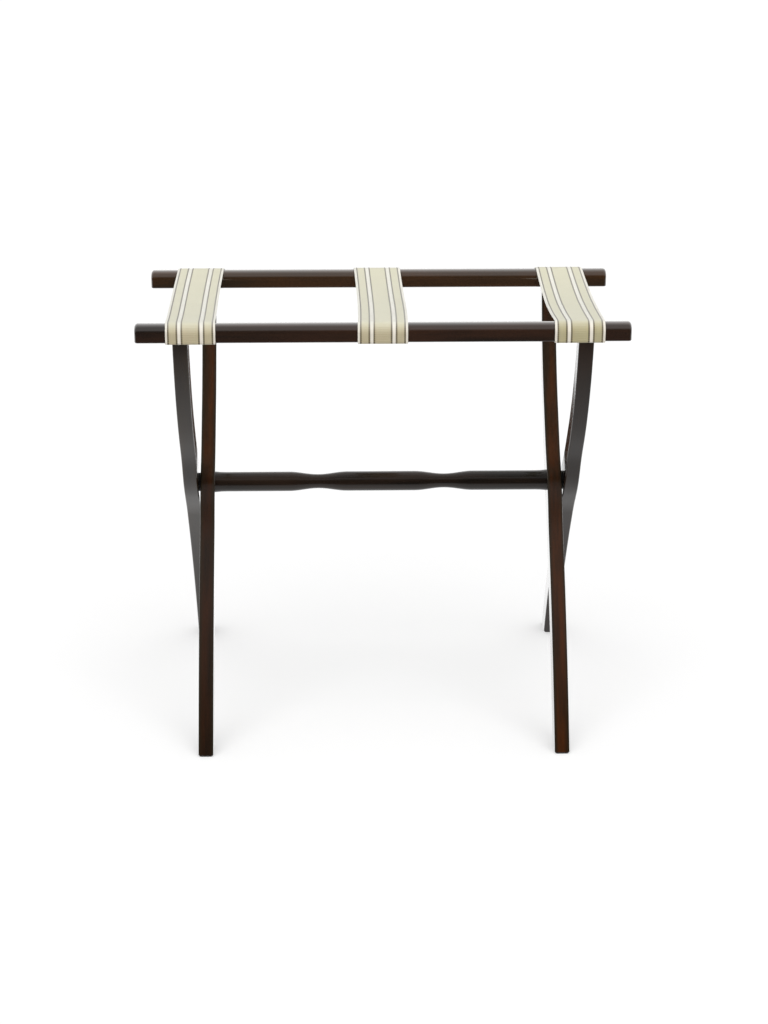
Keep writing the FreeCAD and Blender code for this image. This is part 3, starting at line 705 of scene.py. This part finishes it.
def make_floor():
    """Pale floor: diffuse, with a little light of its own for the camera, so that only shadows show
    on it. In reflections it is bright under and behind the bench and dark further in front."""
    size = FLOOR_REACH
    mesh = bpy.data.meshes.new("floor")
    corners = [(-size, -size, 0), (size, -size, 0), (size, size, 0), (-size, size, 0)]
    mesh.from_pydata(corners, [], [(0, 1, 2, 3)])
    floor = bpy.data.objects.new("floor", mesh)
    bpy.context.scene.collection.objects.link(floor)
    material = new_material("pale_floor")
    t = Tree(material.node_tree)
    path = t.node("LightPath")
    colour = (FLOOR_COLOUR, FLOOR_COLOUR, FLOOR_COLOUR, 1)
    diffuse = t.node("BsdfDiffuse", {"Color": colour}).outputs[0]
    own_light = t.math("MULTIPLY", path.outputs["Is Camera Ray"], FLOOR_OWN_LIGHT)
    own = t.node("Emission", {"Strength": own_light}).outputs[0]
    seen = t.node("AddShader", {0: diffuse, 1: own}).outputs[0]
    place = t.node("SeparateXYZ", {"Vector": t.node("TexCoord").outputs["Object"]})
    under = t.between(place.outputs[1], FLOOR_FRONT, FLOOR_UNDER, FLOOR_DARK, 1.0)
    behind = t.between(place.outputs[1], 0.0, FLOOR_BEHIND, 0.0, FLOOR_BEHIND_EXTRA)
    mirrored = t.node("Emission", {"Strength": t.math("ADD", under, behind)}).outputs[0]
    glossy, through = path.outputs["Is Glossy Ray"], path.outputs["Is Transmission Ray"]
    reflected = t.math("MAXIMUM", glossy, through)
    both = t.node("MixShader", {0: reflected, 1: seen, 2: mirrored}).outputs[0]
    output = t.node("OutputMaterial")
    t.tree.links.new(both, output.inputs[0])
    mesh.materials.append(material)


def make_world():
    """White for the camera. In reflections: bright behind and overhead, dark low in front."""
    world = bpy.data.worlds.new("studio")
    bpy.context.scene.world = world
    world.use_nodes = True
    world.node_tree.nodes.clear()
    t = Tree(world.node_tree)
    path = t.node("LightPath")
    way = t.node("SeparateXYZ", {"Vector": t.node("TexCoord").outputs["Generated"]})
    to_front = t.math("MULTIPLY", way.outputs[1], -1)
    turn = t.math("DIVIDE", t.math("ARCTAN2", way.outputs[2], to_front), math.pi)
    ceiling = t.between(turn, CEILING_START, CEILING_FULL, CEILING_DARK, CEILING_BRIGHT)
    backdrop = t.between(turn, BACKDROP_START, BACKDROP_FULL, 0.0, BACKDROP_BRIGHT)
    sweep = t.math("ADD", ceiling, backdrop)
    strength = t.node("Mix", {0: path.outputs["Is Glossy Ray"], 2: AMBIENT, 3: sweep}).outputs[0]
    plain = t.math("MAXIMUM", path.outputs["Is Camera Ray"], path.outputs["Is Transmission Ray"])
    strength = t.node("Mix", {0: plain, 2: strength, 3: 1.0}).outputs[0]
    background = t.node("Background", {"Color": (1, 1, 1, 1), "Strength": strength})
    output = t.node("OutputWorld")
    t.tree.links.new(background.outputs[0], output.inputs[0])


def make_lamp():
    """One very large soft light overhead, a little to the front."""
    lamp = bpy.data.lights.new("overhead", "SUN")
    lamp.angle = LAMP_SPREAD
    lamp.energy = LAMP_STRENGTH
    holder = bpy.data.objects.new("overhead", lamp)
    holder.rotation_euler = (LAMP_TILT, 0, 0)
    holder.visible_glossy = False
    bpy.context.scene.collection.objects.link(holder)


def make_camera():
    yaw, pitch, roll = (math.radians(a) for a in (CAMERA_YAW, CAMERA_PITCH, CAMERA_ROLL))
    level = math.cos(pitch)
    ahead = np.array([-math.sin(yaw) * level, math.cos(yaw) * level, -math.sin(pitch)])
    right = np.array([math.cos(yaw), math.sin(yaw), 0.0])
    up = np.cross(right, ahead)
    rolled_right = math.cos(roll) * right + math.sin(roll) * up
    rolled_up = math.cos(roll) * up - math.sin(roll) * right
    matrix = Matrix.Identity(4)
    for row in range(3):
        matrix[row][0] = rolled_right[row]
        matrix[row][1] = rolled_up[row]
        matrix[row][2] = -ahead[row]
        matrix[row][3] = CAMERA_PLACE[row]
    data = bpy.data.cameras.new("camera")
    data.sensor_fit = "AUTO"
    data.sensor_width = SENSOR
    data.lens = CAMERA_LENS
    camera = bpy.data.objects.new("camera", data)
    camera.matrix_world = matrix
    bpy.context.scene.collection.objects.link(camera)
    bpy.context.scene.camera = camera


paint_nodes()
make_straps()
make_floor()
make_world()
make_lamp()
make_camera()
bpy.context.scene.view_settings.view_transform = "Standard"
